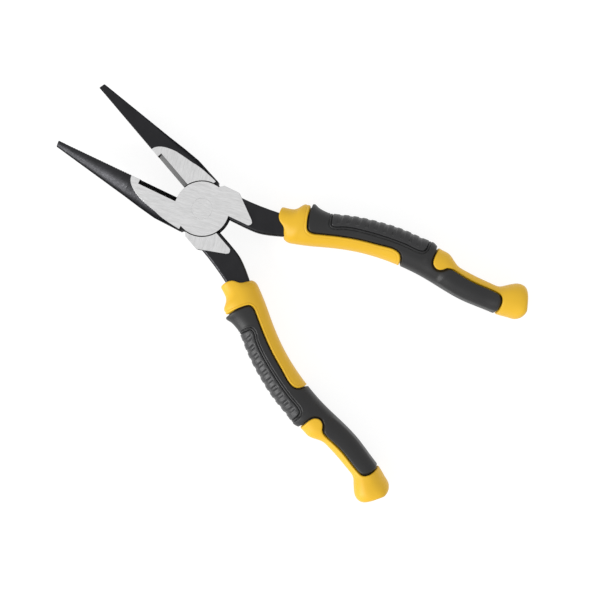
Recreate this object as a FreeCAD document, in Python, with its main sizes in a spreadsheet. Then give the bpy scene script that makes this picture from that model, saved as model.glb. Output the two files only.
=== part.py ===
"""Needle nose pliers: two identical forged halves crossed at a lap joint, one rivet, two moulded grips.

Frame: millimetres. The origin lies on the pivot axis, on the ground back face of the joint.
+X runs from the pivot towards the handles, along the line on which the closed pliers lie.
+Z runs along the rivet, from the back face to the front face. +Y completes the frame.

Each half is drawn once, in its own frame: X along the closed pliers, the handle on +Y, the jaw on -Y
and Z = 0 on the lap plane. The front half is lifted to its place and swung open. The rear half is the
same shape turned over about X and swung the other way.
"""
import FreeCAD, Part
import math
import os
import Sketcher

V = FreeCAD.Vector

SIZES = {
    # joint
    "joint_thickness": 11.0,
    "disc_face_radius": 11.3,
    "disc_lap_radius": 12.1,
    "pocket_face_radius": 11.75,
    "pocket_lap_radius": 12.35,
    "lap_gap": 0.06,
    "rest_half_angle": 12.0,
    # rivet, with its countersunk heads ground flush
    "rivet_radius": 3.2,
    "rivet_head_radius": 4.3,
    "rivet_head_depth": 1.4,
    "rivet_play": 0.04,
    # jaw: D-shaped sections at the tip, where the faces start to be ground, in the middle of the ground
    # faces, at the root and at the heel
    "jaw_length": 66.8,
    "tip_width": 2.7,
    "tip_half_height": 1.65,
    "grind_start": 32.3,
    "grind_width": 9.1,
    "grind_half_height": 5.5,
    "middle_reach": 25.0,
    "middle_width": 10.6,
    "middle_half_height": 7.5,
    "root_reach": 17.0,
    "root_width": 12.0,
    "root_half_height": 8.8,
    "heel_reach": 4.9,
    "heel_width": 12.4,
    "heel_half_height": 16.0,
    "toe_reach": 3.5,
    "toe_thickness": 8.4,
    "bite_gap": 0.05,
    # cutter and teeth
    "cutter_far_end": 28.4,
    "cutter_near_end": 11.3,
    "cutter_bevel": 2.0,
    "tooth_pitch": 1.1,
    "tooth_depth": 0.4,
    "tooth_count": 28.0,
    # handle side
    "block_top": 12.7,
    "block_underside": 2.0,
    "tang_thickness": 8.6,
    "tang_edge_radius": 1.1,
    # grip
    "core_start": 37.0,
    "core_end": 134.0,
    "grip_wall": 2.8,
    "pad_depth": 1.3,
}

# Upper and lower edges of the tang, from the joint to its end inside the grip.
TANG_TOP = [(8, 11.4), (20, 11.5), (30, 12.5), (45, 15.4), (60, 20.0), (75, 23.4), (90, 24.2),
            (103, 22.2), (114, 20.6), (125, 20.8)]
TANG_UNDERSIDE = [(8, 0.8), (15, 0.8), (21, 0.8), (25, 1.1), (29, 2.1), (35, 4.3), (45, 8.4), (60, 13.9),
                  (75, 17.6), (90, 18.6), (103, 17.5), (114, 16.5), (125, 17.0)]

# Grip sections: place along X, underside, top, half thickness.
GRIP_SECTIONS = [
    (28.5, 3.4, 15.2, 7.0),
    (32.0, 3.4, 16.0, 7.2),
    (36.0, 3.2, 18.2, 7.8),
    (39.5, 3.2, 21.2, 8.4),
    (42.0, 3.9, 22.1, 8.4),
    (46.0, 5.2, 21.7, 8.0),
    (51.0, 7.2, 22.5, 7.9),
    (60.0, 10.3, 25.4, 7.9),
    (70.0, 12.8, 27.6, 8.1),
    (80.0, 14.1, 28.9, 8.2),
    (92.0, 14.5, 29.1, 8.2),
    (100.0, 14.0, 28.0, 8.0),
    (107.0, 13.1, 25.0, 7.7),
    (115.0, 12.7, 24.2, 7.6),
    (123.0, 13.2, 24.4, 7.8),
    (129.0, 13.7, 27.2, 8.4),
    (134.5, 14.3, 29.4, 8.9),
    (137.6, 15.0, 27.4, 8.8),
    (141.0, 15.8, 23.0, 8.4),
]
SECTION_SQUARENESS = 2.6
REGION_HEIGHT = 40

# Plan lines across the grip, each from its top or front end to its underside end.
COLLAR_FRONT = [(29.4, 17.0), (29.6, 13.4), (30.3, 10.7), (31.4, 9.2), (33.2, 8.0), (34.3, 6.6), (34.9, 4.9),
                (35.4, 3.6), (35.6, 2.0)]
GUARD_EDGE = [(39.6, 24.0), (40.0, 20.0), (41.0, 16.0), (42.4, 12.2), (43.6, 10.5), (45.2, 10.1),
              (48.0, 10.8), (55.0, 13.3), (65.0, 16.2), (75.0, 18.2), (79.8, 18.8), (81.9, 18.1), (83.4, 16.0),
              (84.2, 13.8), (84.6, 11.0)]
CAP_EDGE = [(95.8, 31.0), (95.5, 26.0), (95.6, 22.4), (96.9, 20.1), (98.9, 19.4), (100.9, 20.2),
            (102.7, 21.9), (105.0, 22.4), (110.0, 21.9), (117.0, 21.6), (124.0, 21.9), (127.0, 21.3),
            (128.6, 19.3), (129.3, 16.8), (129.6, 11.0)]
PAD_EDGE = [(49.9, 27.0), (50.3, 21.0), (50.9, 18.4), (51.5, 17.1), (52.6, 16.9), (55.0, 17.9), (60.0, 19.8),
            (65.0, 20.9), (70.0, 21.8), (75.0, 22.5), (80.0, 23.0), (85.0, 23.2), (89.2, 23.3), (90.5, 23.9),
            (91.0, 25.3), (91.2, 28.0), (91.3, 32.0)]
END_FACE = [(134.9, 31.5), (138.0, 27.4), (139.5, 23.6), (140.5, 19.6), (140.2, 17.2), (138.8, 15.3),
            (136.4, 13.0)]

document = FreeCAD.newDocument("needle_nose_pliers")


def make_sheet():
    sheet = document.addObject("Spreadsheet::Sheet", "Sizes")
    for row, (word, value) in enumerate(SIZES.items(), start=1):
        sheet.set(f"A{row}", word)
        sheet.set(f"B{row}", str(value))
        sheet.setAlias(f"B{row}", word)
    document.recompute()
    return sheet


sheet = make_sheet()


def size(word):
    """A driving size, as a number, for outlines that are worked out point by point."""
    return float(sheet.get(word))


def sketch_on(body, name, role, offset=None):
    """A sketch on one of the body's own origin planes, moved along the plane's normal by an expression."""
    sketch = body.newObject("Sketcher::SketchObject", name)
    plane = next(f for f in body.Origin.OriginFeatures if f.Role == role)
    sketch.AttachmentSupport = [(plane, "")]
    sketch.MapMode = "FlatFace"
    if offset:
        sketch.setExpression("AttachmentOffset.Base.z", offset)
    return sketch


def add_polygon(sketch, corners):
    """A closed outline of straight lines. Each corner is a pair of expressions measured from the origin."""
    points = [V(*(float(sketch.evalExpression(text)) for text in corner), 0) for corner in corners]
    lines = []
    for start, end in zip(points, points[1:] + points[:1]):
        lines.append(sketch.addGeometry(Part.LineSegment(start, end), False))
    for line, following in zip(lines, lines[1:] + lines[:1]):
        sketch.addConstraint(Sketcher.Constraint("Coincident", line, 2, following, 1))
    for line, point, corner in zip(lines, points, corners):
        for kind, value, text in zip(("DistanceX", "DistanceY"), point, corner):
            constraint = sketch.addConstraint(Sketcher.Constraint(kind, -1, 1, line, 1, value))
            sketch.setExpression(f"Constraints[{constraint}]", text)


def spline(points):
    curve = Part.BSplineCurve()
    curve.interpolate([V(x, y, 0) for x, y in points])
    return curve


def add_band(sketch, upper, lower):
    """A closed outline between an upper and a lower curve with straight ends."""
    edges = [
        spline(upper),
        Part.LineSegment(V(*upper[-1], 0), V(*lower[-1], 0)),
        spline(lower),
        Part.LineSegment(V(*lower[0], 0), V(*upper[0], 0)),
    ]
    for edge in edges:
        index = sketch.addGeometry(edge, False)
        sketch.addConstraint(Sketcher.Constraint("Block", index))


def pad(body, name, sketch, length):
    feature = body.newObject("PartDesign::Pad", name)
    feature.Profile = sketch
    feature.setExpression("Length", length)
    feature.Midplane = True
    document.recompute()
    return feature


def pocket(body, name, sketch, length, midplane=False, towards_normal=False):
    """A cut that has to take material away, so its direction is checked by volume."""
    document.recompute()
    before = body.Shape.Volume
    feature = body.newObject("PartDesign::Pocket", name)
    feature.Profile = sketch
    feature.setExpression("Length", length)
    feature.Midplane = midplane
    feature.Reversed = towards_normal
    document.recompute()
    if feature.Shape.Volume >= before:
        raise ValueError(f"{body.Label}: {name} cuts nothing")
    return feature


def turned(body, kind, name, corners):
    """A half section turned once round the pivot axis, to add material or to cut it away."""
    section = sketch_on(body, f"{name}_section", "XZ_Plane")
    add_polygon(section, corners)
    feature = body.newObject(f"PartDesign::{kind}", name)
    feature.Profile = section
    feature.ReferenceAxis = (section, ["V_Axis"])
    feature.Angle = 360
    body.Tip = feature
    document.recompute()


def rivet_profile(play):
    """Half section of the rivet as corner expressions: a shank with a countersunk head at each face."""
    shank = f"Sizes.rivet_radius + {play}"
    head = f"Sizes.rivet_head_radius + {play}"
    face = "Sizes.joint_thickness / 2"
    shoulder = "Sizes.joint_thickness / 2 - Sizes.rivet_head_depth"
    return [("0", f"-({face})"), (head, f"-({face})"), (shank, f"-({shoulder})"),
            (shank, shoulder), (head, face), ("0", face)]


def make_rivet(label):
    body = document.addObject("PartDesign::Body", label)
    turned(body, "Revolution", f"{label}_turning", rivet_profile("0"))
    return body


def add_jaw_section(body, name, reach, width, half_height):
    """Half ellipse across the jaw: flat on the gripping side, round on the outside."""
    section = sketch_on(body, name, "YZ_Plane", f"-Sizes.{reach}")
    deep = size(width)
    tall = size(half_height)
    gap = size("bite_gap")
    centre = V(-gap, 0, 0)
    if deep >= tall:
        ellipse = Part.Ellipse(centre + V(-deep, 0, 0), centre + V(0, -tall, 0), centre)
        arc = Part.ArcOfEllipse(ellipse, -math.pi / 2, math.pi / 2)
    else:
        ellipse = Part.Ellipse(centre + V(0, tall, 0), centre + V(-deep, 0, 0), centre)
        arc = Part.ArcOfEllipse(ellipse, 0, math.pi)
    section.addGeometry(arc, False)
    section.addGeometry(Part.LineSegment(arc.EndPoint, arc.StartPoint), False)
    for index in (0, 1):
        section.addConstraint(Sketcher.Constraint("Block", index))
    return section


def forge_jaw(body):
    sections = [
        add_jaw_section(body, "jaw_tip_section", "jaw_length", "tip_width", "tip_half_height"),
        add_jaw_section(body, "jaw_grind_section", "grind_start", "grind_width", "grind_half_height"),
        add_jaw_section(body, "jaw_middle_section", "middle_reach", "middle_width", "middle_half_height"),
        add_jaw_section(body, "jaw_root_section", "root_reach", "root_width", "root_half_height"),
        add_jaw_section(body, "jaw_heel_section", "heel_reach", "heel_width", "heel_half_height"),
    ]
    document.recompute()
    jaw = body.newObject("PartDesign::AdditiveLoft", "jaw")
    jaw.Profile = sections[0]
    jaw.Sections = sections[1:]
    jaw.Ruled = True
    document.recompute()


def grind_faces(body):
    """The jaw root is forged thicker than the joint and ground flat on both faces."""
    for side, name in ((1, "front_grind"), (-1, "back_grind")):
        waste = sketch_on(body, f"{name}_waste", "XZ_Plane")
        face = f"{side} * Sizes.joint_thickness / 2"
        beyond = f"{side} * Sizes.heel_half_height * 1.1"
        add_polygon(waste, [("-Sizes.grind_start - 1", face), ("0", face),
                            ("0", beyond), ("-Sizes.grind_start - 1", beyond)])
        pocket(body, name, waste, "Sizes.joint_thickness * 4", midplane=True)


def add_disc(body):
    """The disc of the joint, with forging draft: widest on the lap plane."""
    face = "Sizes.joint_thickness / 2"
    turned(body, "Revolution", "disc", [
        ("0", f"-({face})"), ("Sizes.disc_face_radius", f"-({face})"), ("Sizes.disc_lap_radius", "0"),
        ("Sizes.disc_face_radius", face), ("0", face),
    ])


def add_block(body):
    """Full-thickness shoulder between the disc and the tang, with a straight slanted end."""
    outline = sketch_on(body, "block_outline", "XY_Plane")
    top = "Sizes.block_top"
    low = "Sizes.block_underside"
    add_polygon(outline, [
        ("0", low), ("0", "8"), (f"{top} * 0.22", f"{top} * 0.9"), (f"{top} * 0.34", top),
        (f"{top} * 0.87", top), (f"{top} * 1.63", f"{top} * 0.36"), (f"{top} * 1.68", f"{top} * 0.28"),
        (f"{top} * 1.66", f"{top} * 0.21"), (f"{top} * 1.60", low),
    ])
    pad(body, "block", outline, "Sizes.joint_thickness")


def add_tang(body):
    outline = sketch_on(body, "tang_outline", "XY_Plane")
    add_band(outline, TANG_TOP, TANG_UNDERSIDE)
    pad(body, "tang", outline, "Sizes.tang_thickness")


def round_tang_edges(body):
    """Rounds the four long edges of the tang and the edges of its end."""
    base = body.Tip
    level = size("tang_thickness") / 2
    names = []
    for index, edge in enumerate(base.Shape.Edges, start=1):
        box = edge.BoundBox
        flat = abs(abs(box.ZMin) - level) < 0.01 and box.ZLength < 0.01
        if flat and box.XMax > 60:
            names.append(f"Edge{index}")
    fillet = body.newObject("PartDesign::Fillet", "tang_rounding")
    fillet.Base = (base, names)
    fillet.setExpression("Radius", "Sizes.tang_edge_radius")
    document.recompute()


def add_heel_toe(body):
    """The unground end of the jaw's heel, which stands a little below the ground faces."""
    outline = sketch_on(body, "toe_outline", "XY_Plane")
    deep = "-Sizes.heel_width"
    add_polygon(outline, [
        ("-Sizes.heel_reach - 0.8", "-9"), ("-Sizes.heel_reach - 0.8", f"{deep} + 0.15"),
        ("-Sizes.toe_reach - 0.9", deep), ("-Sizes.toe_reach", f"{deep} + 0.9"),
        ("-Sizes.toe_reach", "-9"),
    ])
    pad(body, "heel_toe", outline, "Sizes.toe_thickness")


def cut_lap(body):
    """Clears the other half's disc: half the thickness, a little more than the disc all round."""
    lap = "Sizes.lap_gap / 2"
    face = "-Sizes.joint_thickness / 2"
    turned(body, "Groove", "lap", [
        ("0", lap), ("Sizes.pocket_lap_radius", lap), ("Sizes.pocket_face_radius", face),
        ("Sizes.pocket_face_radius", f"{face} - 1"), ("0", f"{face} - 1"),
    ])


def cut_cutter(body):
    """Two bevels that meet in a cutting edge on the lap plane."""
    outline = sketch_on(body, "cutter_outline", "YZ_Plane", "-Sizes.cutter_near_end")
    bevel = "-Sizes.cutter_bevel - Sizes.bite_gap"
    face = "Sizes.joint_thickness / 2"
    add_polygon(outline, [("-Sizes.bite_gap", "0"), (bevel, face), ("1", face), ("1", f"-{face}"),
                          (bevel, f"-{face}")])
    pocket(body, "cutter", outline, "Sizes.cutter_far_end - Sizes.cutter_near_end")


def cut_teeth(body):
    outline = sketch_on(body, "tooth_outline", "XY_Plane")
    start = "-Sizes.grind_start - 0.6"
    crest = "-Sizes.bite_gap"
    add_polygon(outline, [
        (start, crest),
        (f"{start} - Sizes.tooth_pitch * 0.42", f"{crest} - Sizes.tooth_depth"),
        (f"{start} - Sizes.tooth_pitch * 0.84", crest),
        (f"{start} - Sizes.tooth_pitch * 0.84", "1"),
        (start, "1"),
    ])
    groove = pocket(body, "tooth_groove", outline, "Sizes.joint_thickness * 2", midplane=True)
    row = body.newObject("PartDesign::LinearPattern", "tooth_row")
    row.Originals = [groove]
    row.Direction = (outline, ["H_Axis"])
    row.Reversed = True
    row.setExpression("Length", "Sizes.tooth_pitch * (Sizes.tooth_count - 1)")
    row.setExpression("Occurrences", "Sizes.tooth_count")
    body.Tip = row
    document.recompute()


def bore_for_rivet(body):
    turned(body, "Groove", "bore", rivet_profile("Sizes.rivet_play"))


def make_lever(label):
    body = document.addObject("PartDesign::Body", label)
    forge_jaw(body)
    grind_faces(body)
    add_disc(body)
    add_block(body)
    add_tang(body)
    round_tang_edges(body)
    add_heel_toe(body)
    cut_lap(body)
    cut_cutter(body)
    cut_teeth(body)
    bore_for_rivet(body)
    return body


def closed_wire(points):
    curve = Part.BSplineCurve()
    curve.interpolate([V(*point) for point in points], PeriodicFlag=True)
    return Part.Wire(curve.toShape())


def signed_power(value, power):
    return math.copysign(abs(value) ** power, value)


def grip_section(station, inset):
    """One rounded section across the grip, drawn in from the outer surface by the inset."""
    reach, underside, top, half_thickness = station
    middle = (underside + top) / 2
    wide = (top - underside) / 2 - inset
    thick = half_thickness - inset
    power = 2 / SECTION_SQUARENESS
    points = []
    for step in range(20):
        angle = 2 * math.pi * step / 20
        across = wide * signed_power(math.cos(angle), power)
        up = thick * signed_power(math.sin(angle), power)
        points.append((reach, middle + across, up))
    return closed_wire(points)


def grip_body(inset):
    return Part.makeLoft([grip_section(station, inset) for station in GRIP_SECTIONS], True, False)


def region(*parts):
    """A solid that stands on a closed plan outline: curves are lists of points, corners are single points."""
    edges = []
    ends = []
    for part in parts:
        run = part if isinstance(part, list) else [part]
        ends.append((run[0], run[-1]))
        if len(run) > 1:
            edges.append(spline(run).toShape())
    for (_, end), (start, _) in zip(ends, ends[1:] + ends[:1]):
        edges.append(Part.LineSegment(V(*end, 0), V(*start, 0)).toShape())
    face = Part.Face(Part.Wire(Part.__sortEdges__(edges)))
    face.translate(V(0, 0, -REGION_HEIGHT / 2))
    return face.extrude(V(0, 0, REGION_HEIGHT))


def guard_region():
    return region(COLLAR_FRONT, (36, 0), (84.6, 0), GUARD_EDGE[::-1], (29.2, 24))


def soft_region():
    return region(GUARD_EDGE, (84.6, 0), (130.2, 0), CAP_EDGE[::-1], (96.4, 40), (39.6, 40))


def cap_region():
    return region(CAP_EDGE, (130.2, 5), (136.2, 5), END_FACE[::-1], (134.6, 40), (96.4, 40))


def pad_region():
    return region(PAD_EDGE, (92, 40), (49.6, 40))


def grip_solids(lever):
    """The five pieces of one grip around the tang of one lever, in the half's own frame."""
    outside = grip_body(0)
    long_slice = Part.makeBox(size("core_end") - size("core_start"), 60, 60, V(size("core_start"), -10, -30))
    core = grip_body(size("grip_wall")).common(long_slice)
    pad_piece = outside.common(pad_region()).cut(grip_body(size("pad_depth")))
    filled = core.fuse(lever)
    return {
        "grip_core": core.cut(lever),
        "finger_guard": outside.common(guard_region()).cut(filled),
        "soft_grip": outside.common(soft_region()).cut(filled).cut(pad_piece),
        "rib_pad": pad_piece,
        "end_cap": outside.common(cap_region()).cut(filled),
    }


def add_piece(label, shape, placement):
    piece = document.addObject("Part::Feature", label)
    piece.Shape = shape.removeSplitter()
    piece.Placement = placement
    return piece


def half_placement(side):
    """Where a half lies at rest: side 1 is the front half, side -1 the rear half, turned over."""
    swing = FreeCAD.Rotation(V(0, 0, 1), side * size("rest_half_angle"))
    turn_over = FreeCAD.Rotation(V(1, 0, 0), 0 if side > 0 else 180)
    return FreeCAD.Placement(V(0, 0, size("joint_thickness") / 2), swing.multiply(turn_over))


def make_half(name, side):
    lever = make_lever(f"{name}_lever")
    pieces = [lever]
    placement = half_placement(side)
    for part_name, shape in grip_solids(lever.Shape).items():
        pieces.append(add_piece(f"{name}_{part_name}", shape, placement))
    lever.Placement = placement
    return pieces


def check_and_export(pieces):
    document.recompute()
    failed = [item.Label for item in document.Objects if {"Invalid", "Error"} & set(item.State)]
    failed += [item.Label for item in pieces if item.Shape.isNull() or not item.Shape.isValid()]
    if failed:
        raise ValueError(f"failed: {failed}")
    os.makedirs("parts", exist_ok=True)
    for item in pieces:
        item.Shape.exportStep(f"parts/{item.Label}.step")
        print(item.Label, len(item.Shape.Solids), round(item.Shape.Volume, 1))


rivet = make_rivet("pivot_rivet")
rivet.Placement = FreeCAD.Placement(V(0, 0, size("joint_thickness") / 2), FreeCAD.Rotation())
check_and_export([rivet] + make_half("front", 1) + make_half("rear", -1))
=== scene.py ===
"""Looks of the needle nose pliers: sculpted two-colour grips around the forged halves, and a plain studio."""
import math
import bpy
import numpy as np
from mathutils import Matrix, Vector


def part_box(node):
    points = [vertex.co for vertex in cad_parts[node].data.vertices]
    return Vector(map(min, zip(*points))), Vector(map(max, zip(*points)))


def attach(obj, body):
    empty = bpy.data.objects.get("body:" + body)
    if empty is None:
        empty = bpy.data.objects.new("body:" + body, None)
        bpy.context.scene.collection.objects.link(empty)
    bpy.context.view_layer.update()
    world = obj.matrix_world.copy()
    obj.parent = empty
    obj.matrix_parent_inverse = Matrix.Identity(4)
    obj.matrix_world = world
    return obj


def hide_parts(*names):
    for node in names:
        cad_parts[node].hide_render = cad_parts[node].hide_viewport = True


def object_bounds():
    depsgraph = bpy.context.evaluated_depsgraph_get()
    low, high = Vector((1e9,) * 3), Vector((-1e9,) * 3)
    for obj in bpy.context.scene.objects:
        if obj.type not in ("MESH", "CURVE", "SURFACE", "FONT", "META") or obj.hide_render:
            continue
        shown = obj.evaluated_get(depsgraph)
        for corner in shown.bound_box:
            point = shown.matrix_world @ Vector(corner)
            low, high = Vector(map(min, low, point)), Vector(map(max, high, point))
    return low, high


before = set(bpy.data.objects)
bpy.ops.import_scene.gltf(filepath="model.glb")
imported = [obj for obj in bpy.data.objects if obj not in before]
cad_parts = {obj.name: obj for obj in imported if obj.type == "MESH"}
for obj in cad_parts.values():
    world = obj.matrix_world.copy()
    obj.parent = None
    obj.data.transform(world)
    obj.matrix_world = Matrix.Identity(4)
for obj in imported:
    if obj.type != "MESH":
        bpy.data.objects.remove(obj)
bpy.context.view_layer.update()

# The halves are drawn in millimetres in their own frame, as in the CAD: X along the closed pliers,
# the handle on +Y and Z = 0 on the lap plane.
MM = 0.001
LAP_HEIGHT = (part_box("pivot_rivet")[0].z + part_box("pivot_rivet")[1].z) / 2
JOINT_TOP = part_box("pivot_rivet")[1].z
REST_HALF_ANGLE = math.radians(12)
HALVES = {"front": 1, "rear": -1}

# ---- plan of the grip, in millimetres -------------------------------------------------------------------
GRIP_TOP = [(28.5, 15.1), (32.0, 15.9), (35.0, 17.0), (36.6, 19.0), (38.0, 20.6), (39.7, 21.0), (41.2, 22.3),
            (43.0, 21.9), (46.0, 21.5), (49.5, 21.7), (53.0, 22.8), (60.0, 25.1), (70.0, 27.3), (80.0, 28.6),
            (90.0, 28.9), (94.0, 28.9), (97.0, 28.1), (100.6, 27.9), (103.6, 26.5), (106.5, 24.9),
            (110.0, 24.4), (116.0, 24.2), (123.0, 24.3), (126.2, 24.7), (128.0, 25.9), (130.4, 27.8),
            (133.9, 29.4), (136.2, 28.8), (137.6, 27.0), (138.8, 23.6), (139.8, 20.0)]
GRIP_UNDERSIDE = [(28.5, 5.6), (32.0, 5.2), (35.2, 4.2), (36.5, 3.3), (38.2, 3.0), (40.5, 3.5), (45.0, 4.9),
                  (55.0, 8.6), (65.0, 11.7), (75.0, 13.6), (84.5, 14.4), (95.0, 14.3), (105.0, 13.3),
                  (115.0, 12.7), (125.0, 13.3), (130.5, 13.7), (135.0, 14.5), (138.0, 15.2), (139.7, 16.8),
                  (140.1, 18.4), (139.8, 20.0)]
GRIP_HALF_THICKNESS = [(28.5, 6.5), (33.0, 6.7), (36.5, 7.6), (39.5, 8.3), (42.0, 8.3), (46.0, 7.8),
                       (52.0, 7.5), (62.0, 7.6), (75.0, 7.8), (90.0, 7.8), (97.0, 7.8), (102.0, 7.5),
                       (109.0, 7.1), (118.0, 7.1), (125.0, 7.5), (129.0, 8.3), (133.0, 8.75), (141.0, 8.6)]
TOP_SQUARENESS = 2.55
UNDERSIDE_SQUARENESS = 2.2
# Sections along X: where a run of them starts and ends, and their spacing, closest under the ribs.
LAST_SECTION = 133.6
SECTION_RUNS = ((28.5, 49.0, 0.4), (49.0, 93.0, 0.26), (93.0, LAST_SECTION, 0.5))
CLOSING_SECTIONS = 40
END_RADIUS = 2.4
POINTS_AROUND = 160

# Where one piece meets the next, and where the panel behind the lobe starts to rise.
COLLAR_FRONT = [(29.4, 17.0), (29.6, 13.4), (30.3, 10.7), (31.4, 9.2), (33.2, 8.0), (34.3, 6.6), (34.9, 4.9),
                (35.4, 3.6), (35.6, 2.0)]
GUARD_EDGE = [(39.6, 24.0), (40.0, 20.0), (41.0, 16.0), (42.4, 12.2), (43.6, 10.5), (45.2, 10.1),
              (48.0, 10.8), (55.0, 13.3), (65.0, 16.2), (75.0, 18.2), (79.8, 18.8), (81.9, 18.1),
              (83.4, 16.0), (84.2, 13.8), (84.6, 11.0)]
CAP_EDGE = [(96.4, 31.0), (96.0, 26.0), (95.9, 22.8), (96.6, 20.6), (98.6, 19.4), (100.7, 20.0),
            (102.6, 21.8), (105.0, 22.4), (110.0, 21.9), (117.0, 21.6), (124.0, 21.9), (127.0, 21.3),
            (128.6, 19.3), (129.3, 16.8), (129.6, 11.0)]
PAD_EDGE = [(49.9, 27.0), (50.3, 21.0), (50.9, 18.4), (51.5, 17.1), (52.6, 16.9), (55.0, 17.9), (60.0, 19.8),
            (65.0, 20.9), (70.0, 21.8), (75.0, 22.5), (80.0, 23.0), (85.0, 23.2), (89.2, 23.3), (90.5, 23.9),
            (91.0, 25.3), (91.2, 28.0), (91.3, 32.0)]
PANEL_FRONT = [(103.2, 24.0), (102.3, 20.0), (101.2, 16.0), (100.6, 10.0)]
RIB_PITCH = 3.755
FIRST_VALLEY = 53.7
# Shallow hollows at the corners of the pad: X, Y and radius.
SCOOPS = ((90.9, 25.2, 1.9), (50.3, 20.1, 1.4))


class Curve:
    """A smooth line through a few points: a natural cubic spline over the length of its chords."""

    def __init__(self, points):
        self.points = np.array(points, float)
        chords = np.linalg.norm(np.diff(self.points, axis=0), axis=1)
        self.knots = np.concatenate([[0.0], np.cumsum(chords)])
        count = len(self.points)
        system = np.eye(count)
        target = np.zeros_like(self.points)
        for i in range(1, count - 1):
            before, after = chords[i - 1], chords[i]
            system[i, i - 1:i + 2] = before, 2 * (before + after), after
            target[i] = 6 * ((self.points[i + 1] - self.points[i]) / after
                             - (self.points[i] - self.points[i - 1]) / before)
        self.bends = np.linalg.solve(system, target)

    def at(self, length):
        """Points at those lengths along the line."""
        length = np.asarray(length, float)
        i = np.clip(np.searchsorted(self.knots, length) - 1, 0, len(self.knots) - 2)
        span = (self.knots[i + 1] - self.knots[i])[:, None]
        right = (length - self.knots[i])[:, None] / span
        left = 1 - right
        straight = left * self.points[i] + right * self.points[i + 1]
        bow = (left ** 3 - left) * self.bends[i] + (right ** 3 - right) * self.bends[i + 1]
        return straight + bow * span ** 2 / 6

    def length_at_x(self, x, samples=4000):
        """Lengths at which the line reaches those X, on its first run."""
        fine = np.linspace(0, self.knots[-1], samples)
        along = np.maximum.accumulate(self.at(fine)[:, 0])
        return np.interp(x, along, fine)

    def sampled(self, step=0.25):
        return self.at(np.linspace(0, self.knots[-1], int(self.knots[-1] / step) + 2))


def distance_to(points, line, at_once=4000):
    """The distance of each plan point to a sampled line, worked out in batches to save memory."""
    start = line[:-1]
    run = line[1:] - start
    squared = (run ** 2).sum(axis=1)
    distance = np.empty(len(points))
    for first in range(0, len(points), at_once):
        batch = points[first:first + at_once, None, :] - start[None]
        part = np.clip((batch * run).sum(axis=2) / squared, 0, 1)
        distance[first:first + at_once] = np.linalg.norm(batch - part[..., None] * run, axis=2).min(axis=1)
    return distance


def inside(points, outline):
    """Whether each plan point lies inside a closed outline."""
    odd = np.zeros(len(points), bool)
    for a, b in zip(outline, np.roll(outline, -1, axis=0)):
        if a[1] != b[1]:
            spans = (a[1] > points[:, 1]) != (b[1] > points[:, 1])
            odd ^= spans & (points[:, 0] < a[0] + (b[0] - a[0]) * (points[:, 1] - a[1]) / (b[1] - a[1]))
    return odd


class Border:
    """A plan line that divides the grip, positive on the side of the given far corners."""

    def __init__(self, points, corners):
        self.line = Curve(points).sampled()
        self.outline = np.vstack([self.line, np.array(corners, float)])

    def signed(self, points):
        distance = distance_to(points, self.line)
        return np.where(inside(points, self.outline), distance, -distance)


BORDERS = {
    "front": Border(COLLAR_FRONT, [(160, 2), (160, 50), (29.2, 50)]),
    "guard": Border(GUARD_EDGE, [(84.6, -10), (15, -10), (15, 24)]),
    "cap": Border(CAP_EDGE, [(160, 11), (160, 50), (96.4, 50)]),
    "pad": Border(PAD_EDGE, [(92, 50), (49.6, 50)]),
    "panel": Border(PANEL_FRONT, [(160, 10), (160, 24)]),
}

# Lines parallel to each border where the surface turns, in millimetres from the border.
CREASES = {
    "front": (0.0, 0.25, 0.7),
    "guard": (-1.2, -0.7, -0.4, -0.15, 0.0, 0.12, 0.35, 0.6, 0.85, 1.0, 1.15, 1.4),
    "cap": (-1.6, -1.1, -0.7, -0.4, -0.15, 0.0, 0.12, 0.35, 0.6, 0.85, 1.0, 1.15, 1.4),
    "pad": (-1.5, -1.2, -0.95, -0.7, -0.45, -0.2, 0.0, 0.15, 0.35, 0.6, 0.9, 1.2, 1.5),
}
# The fine raised line at half height, where the two sides of the mould met.
PARTING_WIDTH = 0.16
PARTING_HEIGHT = 0.05
# The nearest that a cut comes to a corner of a triangle, as a part of the edge that it crosses.
NEAREST_CUT = 0.03


def signed_power(value, power):
    return np.sign(value) * np.abs(value) ** power


def section_stations():
    """Places along X of the sections that stand across the grip."""
    runs = [np.linspace(low, high, int((high - low) / step), endpoint=False)
            for low, high, step in SECTION_RUNS]
    return np.concatenate(runs + [[LAST_SECTION]])


def end_rounding(depth):
    """How much thinner the grip is, that far in from its end face."""
    inset = 1 - np.clip(depth / END_RADIUS, 0, 1)
    return END_RADIUS * (1 - np.sqrt(1 - inset ** 2))


def section_spans():
    """For each section: its top and underside points in plan, and its half thickness.

    Behind the last straight section both outlines turn round the end of the grip and meet, so the sections
    narrow to an upright line in the middle of the end face.
    """
    top, under, thick = Curve(GRIP_TOP), Curve(GRIP_UNDERSIDE), Curve(GRIP_HALF_THICKNESS)
    x = section_stations()
    closing = np.linspace(0, 1, CLOSING_SECTIONS)[1:]
    lengths = []
    for outline in (top, under):
        straight = outline.length_at_x(x)
        lengths.append(np.append(straight, straight[-1] + closing * (outline.knots[-1] - straight[-1])))
    high, low = top.at(lengths[0]), under.at(lengths[1])
    middle = (high + low) / 2
    half = thick.at(thick.length_at_x(middle[:, 0]))[:, 1]
    half -= end_rounding(np.linalg.norm(middle - middle[-1], axis=1))
    return high, low, half


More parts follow.
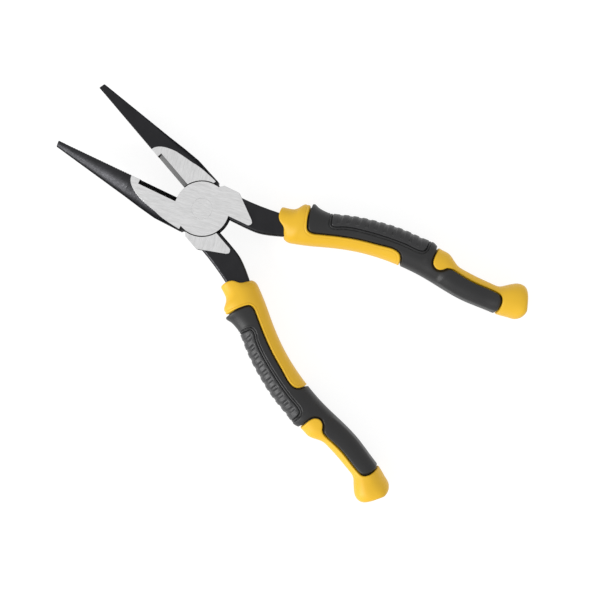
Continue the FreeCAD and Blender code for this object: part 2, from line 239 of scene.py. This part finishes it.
def stitched(rows):
    """Triangles between neighbouring sections. The last section is a line, shared by its two sides."""
    vertex = np.arange(rows * POINTS_AROUND).reshape(rows, POINTS_AROUND)
    place = np.arange(POINTS_AROUND)
    facing_place = (POINTS_AROUND // 2 - place) % POINTS_AROUND
    vertex[-1] = vertex[-1, np.minimum(place, facing_place)]
    a, b = vertex[:-1], np.roll(vertex[:-1], -1, axis=1)
    c, d = vertex[1:], np.roll(vertex[1:], -1, axis=1)
    return np.concatenate([np.stack([a, c, b], axis=-1).reshape(-1, 3),
                           np.stack([b, c, d], axis=-1).reshape(-1, 3)])


def grip_surface():
    """The smooth outer surface: rows of place, normal and place across, and the triangles between them."""
    high, low, half = section_spans()
    around = np.linspace(0, 2 * math.pi, POINTS_AROUND, endpoint=False)
    cosine, sine = np.cos(around), np.sin(around)
    squareness = np.where(cosine > 0, TOP_SQUARENESS, UNDERSIDE_SQUARENESS)
    across = signed_power(cosine, 2 / squareness)
    up = signed_power(sine, 2 / squareness)
    rows = len(half)
    points = np.empty((rows, POINTS_AROUND, 3))
    blend = (across[None, :, None] + 1) / 2
    points[..., :2] = low[:, None] * (1 - blend) + high[:, None] * blend
    points[..., 2] = half[:, None] * up[None]
    spread = np.broadcast_to(across[None, :, None], (rows, POINTS_AROUND, 1))
    data, triangles = compact(np.concatenate([points, spread], axis=2).reshape(-1, 4), stitched(rows))
    normals, triangles = outward_normals(data[:, :3], triangles)
    return np.hstack([data[:, :3], normals, data[:, 3:]]), triangles


def compact(data, triangles):
    """Only the points that the triangles use."""
    used, triangles = np.unique(triangles, return_inverse=True)
    return data[used], triangles.reshape(-1, 3)


def outward_normals(points, triangles):
    """The normal at each point, and the triangles turned to face outwards."""
    a, b, c = (points[triangles[:, i]] for i in range(3))
    facing = np.cross(b - a, c - a)
    if (facing * (a - points.mean(axis=0))).sum() < 0:
        triangles, facing = triangles[:, ::-1], -facing
    normals = np.stack([sum(np.bincount(triangles[:, corner], facing[:, axis], len(points))
                            for corner in range(3)) for axis in range(3)], axis=1)
    return normals / np.linalg.norm(normals, axis=1, keepdims=True), triangles


def split_along(data, triangles, column, level):
    """Cuts the triangles along the line where a column of the data has that level.

    Each crossed triangle has one point alone on its side of the line, and becomes three triangles.
    """
    value = data[:, column] - level
    above = value > 0
    count = above[triangles].sum(axis=1)
    crossed = (count == 1) | (count == 2)
    kept, cut = triangles[~crossed], triangles[crossed]
    if not len(cut):
        return data, triangles
    lone = above[cut] == (above[cut].sum(axis=1) == 1)[:, None]
    turn = lone.argmax(axis=1)
    rows = np.arange(len(cut))
    p, q, r = (cut[rows, (turn + k) % 3] for k in range(3))
    pairs = np.sort(np.concatenate([np.stack([p, q], 1), np.stack([p, r], 1)]), axis=1)
    edges, place = np.unique(pairs, axis=0, return_inverse=True)
    place = place.reshape(-1) + len(data)
    start, end = value[edges[:, 0]], value[edges[:, 1]]
    part = np.clip(start / (start - end), NEAREST_CUT, 1 - NEAREST_CUT)[:, None]
    added = data[edges[:, 0]] * (1 - part) + data[edges[:, 1]] * part
    added[:, column] = level
    pq, pr = place[:len(cut)], place[len(cut):]
    pieces = [np.stack([p, pq, pr], 1), np.stack([pq, q, r], 1), np.stack([pq, r, pr], 1)]
    return np.vstack([data, added]), np.concatenate([kept] + pieces)


# Columns of the data: place, whose last is the height, normal, place across from -1 underneath to 1 on
# top, and the signed distance to each border.
PLACE = slice(0, 3)
HEIGHT = 2
NORMAL = slice(3, 6)
ACROSS = 6
FIELDS = ("front", "guard", "cap", "pad", "panel")
COLUMN = {name: ACROSS + 1 + i for i, name in enumerate(FIELDS)}


def divided_surface():
    """The outer surface cut along every border and crease, with the signed distances as further columns."""
    data, triangles = grip_surface()
    fields = [BORDERS[name].signed(data[:, :2])[:, None] for name in FIELDS]
    data = np.hstack([data] + fields)
    for name, levels in CREASES.items():
        for level in levels:
            data, triangles = split_along(data, triangles, COLUMN[name], level)
    for level in (-PARTING_WIDTH, PARTING_WIDTH):
        data, triangles = split_along(data, triangles, HEIGHT, level)
    return data, triangles


def piece_of_triangles(data, triangles):
    """The name of the piece that each triangle belongs to, or an empty name in front of the collar."""
    side = {name: data[triangles, COLUMN[name]].sum(axis=1) > 0 for name in FIELDS}
    names = np.full(len(triangles), "soft_grip", dtype=object)
    names[side["pad"]] = "rib_pad"
    names[side["cap"]] = "end_cap"
    names[side["guard"]] = "finger_guard"
    names[~side["front"]] = ""
    return names


# ---- relief of each piece, in millimetres outwards --------------------------------------------------------
def smooth(low, high, value):
    part = np.clip((value - low) / (high - low), 0, 1)
    return part * part * (3 - 2 * part)


def rounded_edge(distance, radius, drop):
    """Falls away in a quarter circle towards an edge."""
    part = np.clip(1 - distance / radius, 0, 1)
    return -drop * (1 - np.sqrt(1 - part ** 2))


def ridge(distance, centre, half_width):
    """A rounded bead of height one along a line parallel to a border."""
    part = np.clip(np.abs(distance - centre) / half_width, 0, 1)
    return (1 - part ** 2) ** 2


def lip(distance):
    """The raised rim that a yellow moulding has along its black neighbour, with a crease behind it."""
    rim = 0.08 * ridge(distance, centre=0.5, half_width=0.45)
    crease = 0.13 * ridge(distance, centre=1.0, half_width=0.22)
    return rim - crease


def trench(distance, floor, width, depth):
    """A flat floor along a border, rising to the surface."""
    return -depth * (1 - smooth(floor, floor + width, distance))


def guard_relief(data):
    edge, front = data[:, COLUMN["guard"]], data[:, COLUMN["front"]]
    rounding = rounded_edge(edge, radius=0.35, drop=0.3)
    return rounding + lip(edge) + rounded_edge(front, radius=0.7, drop=0.5)


def cap_relief(data):
    return rounded_edge(data[:, COLUMN["cap"]], radius=0.6, drop=0.4)


def rib_wave(data):
    """Ribs across the pad: a wide crown, then a valley with a fine rib in the middle of its floor.

    The valleys are shallower on the crest of the handle than on its faces.
    """
    from_valley = np.abs(((data[:, 0] - FIRST_VALLEY) / RIB_PITCH + 0.5) % 1 - 0.5) * RIB_PITCH
    depth = 0.35 + 0.2 * smooth(1.0, 4.0, np.abs(data[:, HEIGHT]))
    valley = 1 - smooth(0.35, 1.05, from_valley)
    fine_rib = 1 - smooth(0.05, 0.4, from_valley)
    return 0.08 * fine_rib - depth * valley


def pad_relief(data):
    edge = data[:, COLUMN["pad"]]
    stands_proud = 0.32
    return stands_proud + rounded_edge(edge, radius=0.5, drop=0.6) + rib_wave(data) * smooth(0.7, 1.8, edge)


def panel_relief(data, cap):
    """The panel behind the lobe swells out, and falls away to the cap in a quarter circle."""
    behind = smooth(-1.1, 1.1, data[:, COLUMN["panel"]])
    crest = np.sqrt(1 - np.clip(1 - cap / 1.7, 0, 1) ** 2)
    return 0.6 * behind * crest * smooth(-1.0, -0.75, data[:, ACROSS])


def soft_relief(data):
    """Trenches beside the yellow pieces, and beads with a groove between them round the ribbed pad."""
    guard, cap, pad = (-data[:, COLUMN[name]] for name in ("guard", "cap", "pad"))
    x, y = data[:, 0], data[:, 1]
    relief = trench(guard, floor=0.25, width=0.75, depth=1.2) + trench(cap, floor=0.3, width=0.9, depth=1.3)
    relief += rounded_edge(pad, radius=0.3, drop=0.35)
    inner_bead = 0.16 * ridge(pad, centre=0.6, half_width=0.3)
    groove = 0.2 * ridge(pad, centre=1.05, half_width=0.24)
    outer_bead = 0.12 * ridge(pad, centre=1.6, half_width=0.5)
    relief += inner_bead - groove + outer_bead
    for scoop_x, scoop_y, radius in SCOOPS:
        relief -= 0.4 * ridge(np.hypot(x - scoop_x, y - scoop_y), centre=0, half_width=radius)
    relief += 0.25 * ridge(x, centre=93.4, half_width=1.9) * smooth(19, 21.5, y)
    return relief + panel_relief(data, cap)


RELIEF = {
    "finger_guard": guard_relief,
    "end_cap": cap_relief,
    "rib_pad": pad_relief,
    "soft_grip": soft_relief,
}
# Wall thickness of each piece, in millimetres.
WALL = {"finger_guard": 2.2, "end_cap": 2.2, "rib_pad": 1.2, "soft_grip": 2.0}
SHARPEST_SMOOTH_EDGE = math.radians(50)


def boundary_edges(triangles):
    """Directed edges that only one triangle has."""
    edges = np.concatenate([triangles[:, [0, 1]], triangles[:, [1, 2]], triangles[:, [2, 0]]])
    keys = np.sort(edges, axis=1)
    _, place, count = np.unique(keys, axis=0, return_inverse=True, return_counts=True)
    return edges[count[place.reshape(-1)] == 1]


def closed_shell(name, data, triangles):
    """A closed wall: the outer surface with its relief, the plain surface inside it and the rims between."""
    parting = PARTING_HEIGHT * (np.abs(data[:, HEIGHT]) < PARTING_WIDTH / 2)
    outer = data[:, PLACE] + data[:, NORMAL] * (RELIEF[name](data) + parting)[:, None]
    inner = data[:, PLACE] - data[:, NORMAL] * WALL[name]
    count = len(data)
    rim = boundary_edges(triangles)
    start, end = rim[:, 0], rim[:, 1]
    faces = np.concatenate([
        triangles,
        triangles[:, ::-1] + count,
        np.stack([end, start, start + count], 1),
        np.stack([end, start + count, end + count], 1),
    ])
    return np.vstack([outer, inner]), faces


def half_matrix(side):
    """From a half's own frame in millimetres to the row frame in metres, at rest."""
    swing = Matrix.Rotation(side * REST_HALF_ANGLE, 4, "Z")
    turn_over = Matrix.Rotation(0 if side > 0 else math.pi, 4, "X")
    return Matrix.Translation((0, 0, LAP_HEIGHT)) @ swing @ turn_over @ Matrix.Scale(MM, 4)


def mesh_object(name, points, triangles, material):
    mesh = bpy.data.meshes.new(name)
    mesh.vertices.add(len(points))
    mesh.vertices.foreach_set("co", points.astype(np.float32).reshape(-1))
    mesh.loops.add(len(triangles) * 3)
    mesh.loops.foreach_set("vertex_index", triangles.astype(np.int32).reshape(-1))
    mesh.polygons.add(len(triangles))
    mesh.polygons.foreach_set("loop_start", np.arange(0, len(triangles) * 3, 3, dtype=np.int32))
    mesh.update()
    mesh.validate()
    mesh.shade_smooth()
    mesh.set_sharp_from_angle(angle=SHARPEST_SMOOTH_EDGE)
    mesh.materials.append(material)
    piece = bpy.data.objects.new(name, mesh)
    bpy.context.scene.collection.objects.link(piece)
    return piece


# ---- materials ------------------------------------------------------------------------------------------
YELLOW = ((0.665, 0.382, 0.004), (0.72, 0.42, 0.008))
SOFT_BLACK = ((0.008, 0.008, 0.008 * 1.06), (0.013, 0.013, 0.013 * 1.06))
PAD_BLACK = ((0.016, 0.016, 0.016 * 1.06), (0.024, 0.024, 0.024 * 1.06))
OXIDE = ((0.025, 0.025, 0.0265), (0.038, 0.038, 0.041))
GROUND = ((0.56, 0.56, 0.56), (0.88, 0.88, 0.885))
SLEEVE_BLACK = ((0.02, 0.02, 0.02), (0.035, 0.035, 0.035))
PAPER = ((0.19, 0.19, 0.19), (0.21, 0.21, 0.21))
OXIDE_GLARE = (0.3, 0.3, 0.3)
FULL_GLARE = (1.0, 1.0, 1.0)

# How far below the joint's top a face still counts as ground.
GROUND_TOLERANCE = 0.02 * MM

# Grinding lines: how much the noise is stretched along and across them, and the angle that they lie at.
FINE_LINES = (280, 4600, 1)
BROAD_LINES = (90, 900, 1)
LINE_ANGLE = {"front": math.radians(22), "rear": math.radians(112)}

# The cutter's upper bevel: how much it faces out across its half and up, how nearly a face has to look that
# way to count as the bevel, the X that the cutter is ahead of, and the grey painted on the bevel of each
# half. That grey is a painted reflection: light on the rear half, whose bevel faces the lamps, and as dark as
# the oxide on the front half.
BEVEL_OUT = 0.94
BEVEL_UP = 0.342
BEVEL_LIKENESS = 0.975
BEVEL_AHEAD = -10 * MM
BEVEL_PAINTED_REFLECTION_GREY = {"front": 0.03, "rear": 0.40}

# The numbers of the Mix node's own sockets for each kind of value: two inputs and the output.
MIX_SOCKETS = {"FLOAT": (2, 3, 0), "VECTOR": (4, 5, 1), "RGBA": (6, 7, 2)}


class Shader:
    """A principled material with short calls for its nodes."""

    def __init__(self, name, **constants):
        self.material = bpy.data.materials.new(name)
        self.material.use_nodes = True
        self.nodes = self.material.node_tree.nodes
        self.links = self.material.node_tree.links
        self.surface = self.nodes["Principled BSDF"]
        for socket, value in constants.items():
            self.surface.inputs[socket.replace("_", " ")].default_value = value

    def node(self, kind, inputs=None, **settings):
        made = self.nodes.new(kind)
        for key, value in settings.items():
            setattr(made, key, value)
        for socket, value in (inputs or {}).items():
            if isinstance(value, bpy.types.NodeSocket):
                self.links.new(value, made.inputs[socket])
            else:
                made.inputs[socket].default_value = value
        return made

    def math(self, operation, first, second=0.0):
        return self.node("ShaderNodeMath", {0: first, 1: second}, operation=operation).outputs[0]

    def coordinates(self, scale=(1, 1, 1), turn=0.0):
        """Places in the object, in metres, turned about Z and then scaled."""
        source = self.node("ShaderNodeTexCoord").outputs["Object"]
        turned = self.node("ShaderNodeMapping", {"Vector": source, "Rotation": (0, 0, turn)})
        return self.node("ShaderNodeMapping", {"Vector": turned.outputs[0], "Scale": scale}).outputs[0]

    def noise(self, vector, scale, detail=3.0, roughness=0.55):
        return self.node("ShaderNodeTexNoise", {"Vector": vector, "Scale": scale, "Detail": detail,
                                                "Roughness": roughness}).outputs["Fac"]

    def ramp(self, value, low, high):
        """Turns 0 to 1 into low to high."""
        return self.node("ShaderNodeMapRange", {"Value": value, "To Min": low, "To Max": high}).outputs[0]

    def contrast(self, value):
        """Stretches the middle of a noise, which seldom leaves 0.3 to 0.7, over 0 to 1."""
        return self.node("ShaderNodeMapRange", {"Value": value, "From Min": 0.3, "From Max": 0.7}).outputs[0]

    def mix(self, part, off, on, kind="RGBA"):
        """Mixes two colours, numbers or vectors. A colour may be a value or another node's output."""
        first, second, result = MIX_SOCKETS[kind]
        mixed = self.node("ShaderNodeMix", {0: part}, data_type=kind)
        for index, value in ((first, off), (second, on)):
            if isinstance(value, bpy.types.NodeSocket):
                self.links.new(value, mixed.inputs[index])
            else:
                mixed.inputs[index].default_value = (*value, 1)
        return mixed.outputs[result]

    def bump(self, height, distance, strength):
        return self.node("ShaderNodeBump", {"Height": height, "Distance": distance,
                                            "Strength": strength}).outputs[0]

    def finish(self, **links):
        for socket, source in links.items():
            self.links.new(source, self.surface.inputs[socket.replace("_", " ")])
        return self.material


def moulded_plastic(name):
    """Yellow satin plastic: fine spark-eroded grain and a faint unevenness of colour."""
    shader = Shader(name, IOR=1.5)
    place = shader.coordinates()
    grain = shader.noise(place, scale=5200.0, detail=2.0)
    cloud = shader.noise(place, scale=90.0)
    return shader.finish(
        Base_Color=shader.mix(cloud, *YELLOW),
        Roughness=shader.ramp(grain, 0.42, 0.58),
        Normal=shader.bump(grain, distance=0.04 * MM, strength=0.5),
    )


def moulded_rubber(name, colours, smoothest, roughest):
    """Charcoal rubber with a fine matt grain."""
    shader = Shader(name, IOR=1.48, Specular_IOR_Level=0.45)
    place = shader.coordinates()
    grain = shader.noise(place, scale=4200.0)
    cloud = shader.noise(place, scale=120.0)
    return shader.finish(
        Base_Color=shader.mix(cloud, *colours),
        Roughness=shader.ramp(grain, smoothest, roughest),
        Normal=shader.bump(grain, distance=0.06 * MM, strength=0.6),
    )


def grinding_lines(shader, angle):
    return shader.noise(shader.coordinates(FINE_LINES, -angle), scale=1.0, detail=5.0, roughness=0.7)


def ground_mask(shader, place):
    """One on the ground faces, which are the highest and the lowest places of the steel."""
    height = shader.node("ShaderNodeSeparateXYZ", {0: place}).outputs["Z"]
    from_middle = shader.math("ABSOLUTE", shader.math("SUBTRACT", height, LAP_HEIGHT))
    return shader.math("GREATER_THAN", from_middle, JOINT_TOP - LAP_HEIGHT - GROUND_TOLERANCE)


def bevel_reflection_mask(shader, place, side):
    """One on the upper bevel of that half's cutter, where the painted reflection goes."""
    facing = shader.node("ShaderNodeTexCoord").outputs["Normal"]
    out_x = -math.sin(REST_HALF_ANGLE) * BEVEL_OUT
    out_y = side * math.cos(REST_HALF_ANGLE) * BEVEL_OUT
    likeness = shader.node("ShaderNodeVectorMath", {0: facing, 1: (out_x, out_y, BEVEL_UP)},
                           operation="DOT_PRODUCT").outputs["Value"]
    alike = shader.math("GREATER_THAN", likeness, BEVEL_LIKENESS)
    reach = shader.node("ShaderNodeSeparateXYZ", {0: place}).outputs["X"]
    return shader.math("MULTIPLY", alike, shader.math("LESS_THAN", reach, BEVEL_AHEAD))


def forged_steel(name, half):
    """Black oxide on the forged skin, bright grinding lines on the flat faces, and a painted reflection: the
    cutter's bevel is painted a lighter grey on the rear half, which faces the lamps.
    """
    shader = Shader(name, Metallic=1.0)
    place = shader.coordinates()
    ground = ground_mask(shader, place)
    lines = grinding_lines(shader, LINE_ANGLE[half])
    broad = shader.noise(shader.coordinates(BROAD_LINES, -LINE_ANGLE[half]), scale=1.0, detail=2.0)
    streak = shader.math("ADD", shader.math("MULTIPLY", lines, 0.7), shader.math("MULTIPLY", broad, 0.3))
    bright = shader.mix(shader.contrast(streak), *GROUND)
    cloud = shader.noise(place, scale=160.0)
    # Painted reflection: the cutter's bevel gets a flat grey, lighter on the rear half, in place of the
    # lamps' light that it catches.
    bevel = bevel_reflection_mask(shader, place, HALVES[half])
    oxide = shader.mix(bevel, shader.mix(cloud, *OXIDE), (BEVEL_PAINTED_REFLECTION_GREY[half],) * 3)
    scale = shader.noise(place, scale=1100.0, detail=4.0, roughness=0.65)
    oxide_roughness = shader.ramp(shader.contrast(scale), 0.26, 0.46)
    ground_roughness = shader.ramp(lines, 0.3, 0.42)
    oxide_bump = shader.bump(scale, distance=0.07 * MM, strength=0.8)
    ground_bump = shader.bump(lines, distance=0.04 * MM, strength=0.6)
    return shader.finish(
        Base_Color=shader.mix(ground, oxide, bright),
        Specular_Tint=shader.mix(ground, OXIDE_GLARE, FULL_GLARE),
        Roughness=shader.mix(ground, oxide_roughness, ground_roughness, "FLOAT"),
        Normal=shader.mix(ground, oxide_bump, ground_bump, "VECTOR"),
    )


def rivet_steel(name):
    """The same ground steel as the front half around it."""
    shader = Shader(name, Metallic=1.0)
    lines = grinding_lines(shader, LINE_ANGLE["front"])
    return shader.finish(
        Base_Color=shader.mix(shader.contrast(lines), *GROUND),
        Roughness=shader.ramp(lines, 0.3, 0.42),
        Normal=shader.bump(lines, distance=0.04 * MM, strength=0.6),
    )


def hard_sleeve(name):
    """Plain black plastic of the sleeve under the grip."""
    shader = Shader(name, IOR=1.5)
    grain = shader.noise(shader.coordinates(), scale=900.0)
    return shader.finish(
        Base_Color=shader.mix(grain, *SLEEVE_BLACK),
        Roughness=shader.ramp(grain, 0.5, 0.6),
    )


def paper_floor(name):
    """White paper that also glows a little, so that the shade of the pliers on it stays faint."""
    shader = Shader(name, Roughness=0.9, Emission_Color=(1, 1, 1, 1), Emission_Strength=0.85)
    fibre = shader.noise(shader.coordinates(), scale=400.0)
    return shader.finish(Base_Color=shader.mix(fibre, *PAPER))


def dress(node, material):
    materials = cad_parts[node].data.materials
    materials.clear()
    materials.append(material)


def dress_steel():
    for half in HALVES:
        dress(f"{half}_lever", forged_steel(f"{half}_forged_steel", half))
        dress(f"{half}_grip_core", hard_sleeve(f"{half}_sleeve_plastic"))
    dress("pivot_rivet", rivet_steel("rivet_steel"))


def make_grips():
    """Both grips: each piece is made once, in a half's own frame, and placed on each half."""
    yellow = moulded_plastic("yellow_plastic")
    black = moulded_rubber("soft_rubber", SOFT_BLACK, smoothest=0.40, roughest=0.52)
    ribbed = moulded_rubber("pad_rubber", PAD_BLACK, smoothest=0.34, roughest=0.46)
    finish = {
        "finger_guard": (yellow, "yellow_plastic"),
        "end_cap": (yellow, "yellow_plastic"),
        "soft_grip": (black, "soft_rubber"),
        "rib_pad": (ribbed, "pad_rubber"),
    }
    data, triangles = divided_surface()
    names = piece_of_triangles(data, triangles)
    for part, (material, slot) in finish.items():
        own_data, own_triangles = compact(data, triangles[names == part])
        points, faces = closed_shell(part, own_data, own_triangles)
        for half, side in HALVES.items():
            matrix = np.array(half_matrix(side))
            placed = points @ matrix[:3, :3].T + matrix[:3, 3]
            piece = mesh_object(f"{half}_{part}_moulding", placed, faces, material)
            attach(piece, f"{half}_half")
            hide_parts(f"{half}_{part}")


# ---- studio ---------------------------------------------------------------------------------------------
CAMERA_TURN = math.radians(37.6)
CAMERA_CENTRE = Vector((0.0554, -0.0052, LAP_HEIGHT))
CAMERA_DISTANCE = 0.475
FRAME_WIDTH = 0.252
SENSOR = 36.0
FLOOR_SIZE = 30
FLOOR_CENTRE = (0.05, 0)
WORLD_STRENGTH = 0.86
TO_RIGHT = Vector((math.cos(CAMERA_TURN), math.sin(CAMERA_TURN), 0))
TO_TOP = Vector((-math.sin(CAMERA_TURN), math.cos(CAMERA_TURN), 0))


def make_camera():
    camera = bpy.data.cameras.new("camera")
    camera.sensor_width = SENSOR
    camera.lens = SENSOR * CAMERA_DISTANCE / FRAME_WIDTH
    camera.clip_start = 0.01
    camera.clip_end = 20
    holder = bpy.data.objects.new("camera", camera)
    holder.location = CAMERA_CENTRE + Vector((0, 0, CAMERA_DISTANCE))
    holder.rotation_euler = (0, 0, CAMERA_TURN)
    bpy.context.scene.collection.objects.link(holder)
    bpy.context.scene.camera = holder


def area_light(name, right, top, up, size, power):
    """A square soft light, placed by its distances from the middle of the object, aimed at it."""
    lamp = bpy.data.lights.new(name, "AREA")
    lamp.size = size
    lamp.energy = power
    holder = bpy.data.objects.new(name, lamp)
    holder.location = CAMERA_CENTRE + TO_RIGHT * right + TO_TOP * top + Vector((0, 0, up))
    aim = CAMERA_CENTRE - holder.location
    holder.rotation_euler = aim.to_track_quat("-Z", "Y").to_euler()
    bpy.context.scene.collection.objects.link(holder)


def make_studio():
    world = bpy.data.worlds.new("studio")
    bpy.context.scene.world = world
    world.use_nodes = True
    background = world.node_tree.nodes["Background"]
    background.inputs["Color"].default_value = (1, 1, 1, 1)
    background.inputs["Strength"].default_value = WORLD_STRENGTH
    area_light("key_high", right=-0.55, top=-0.35, up=0.5, size=0.24, power=2.75)
    area_light("key_low", right=-0.62, top=-0.40, up=0.2, size=0.24, power=1.8)

    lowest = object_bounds()[0].z
    bpy.ops.mesh.primitive_plane_add(size=FLOOR_SIZE, location=(*FLOOR_CENTRE, lowest))
    floor = bpy.context.object
    floor.name = "floor"
    floor.data.materials.append(paper_floor("paper"))
    bpy.context.scene.view_settings.view_transform = "Standard"


dress_steel()
make_grips()
make_camera()
make_studio()
